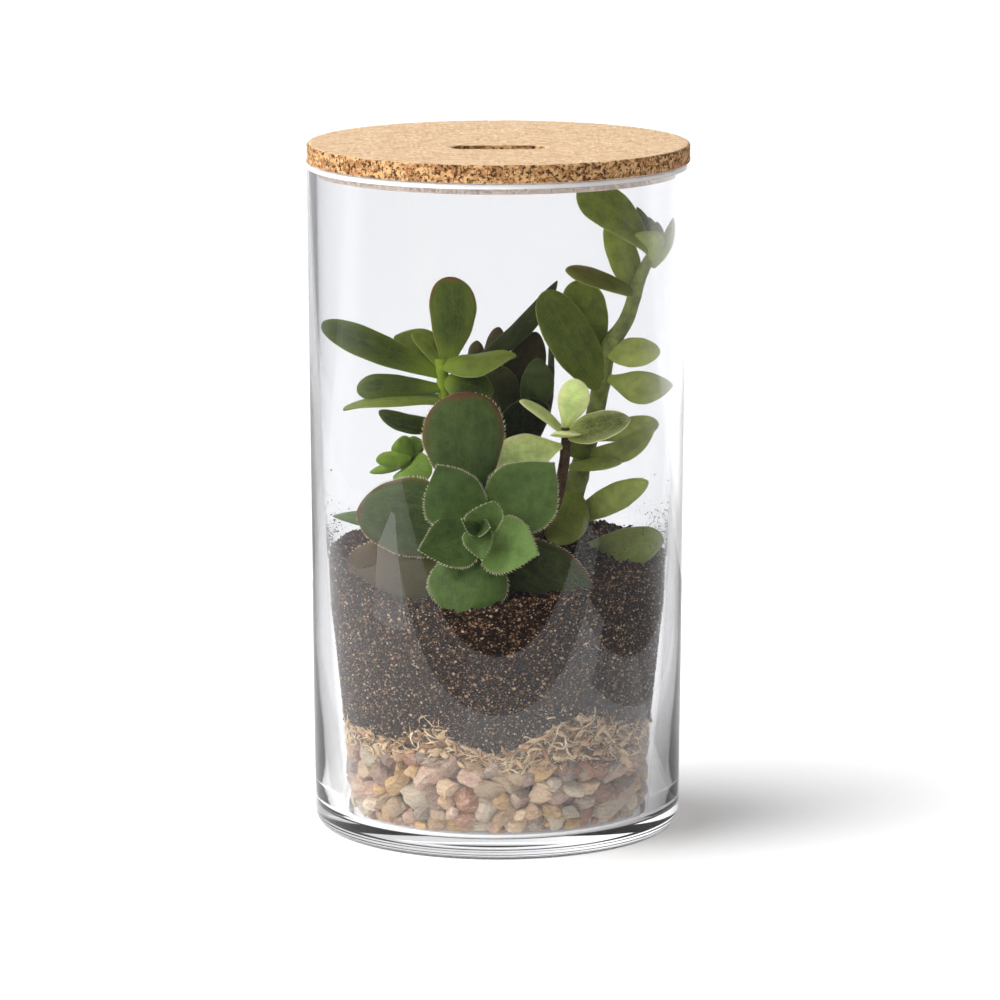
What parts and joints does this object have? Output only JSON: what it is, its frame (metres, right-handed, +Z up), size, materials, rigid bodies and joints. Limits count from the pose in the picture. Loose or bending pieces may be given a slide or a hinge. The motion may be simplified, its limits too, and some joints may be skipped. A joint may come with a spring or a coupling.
{
  "type": "glass plant terrarium",
  "caption": "Tall glass cylinder jar with a slotted cork lid, layered with gravel, plant fibre and potting soil and planted with succulents.",
  "frame": {"origin": "centre of the flat ring the jar stands on", "axes": "+Z up along the jar's axis; -Y is the front, where the rosette leans on the glass; +X is to the right seen from the front, where the tall branch stands"},
  "size_m": [0.101, 0.101, 0.1827],
  "materials": {
    "clear_glass": "clear, polished",
    "cork": "pressed cork granules, matt",
    "gravel": "washed natural stones, matt",
    "plant_fibre": "dry matted strands",
    "soil": "loose dark potting soil with pale grains",
    "rosette_leaf": "living leaf, waxy satin",
    "spoon_leaf": "living leaf, waxy satin",
    "dark_leaf": "living leaf, waxy satin",
    "sprig_leaf": "living leaf, waxy satin",
    "branch_leaf": "living leaf, waxy satin",
    "cream_edged_leaf": "living leaf, waxy satin"
  },
  "bodies": {
    "root": {"glass_jar": "clear_glass", "cork_lid": "cork", "gravel_bed": "gravel", "fibre_layer": "plant_fibre", "potting_soil": "soil", "rosette_plant": "rosette_leaf", "spoon_leaf_plant": "spoon_leaf", "dark_leaf_plant": "dark_leaf", "green_sprig": "sprig_leaf", "tall_branch": "branch_leaf", "cream_edged_sprig": "cream_edged_leaf"}
  },
  "joints": []
}
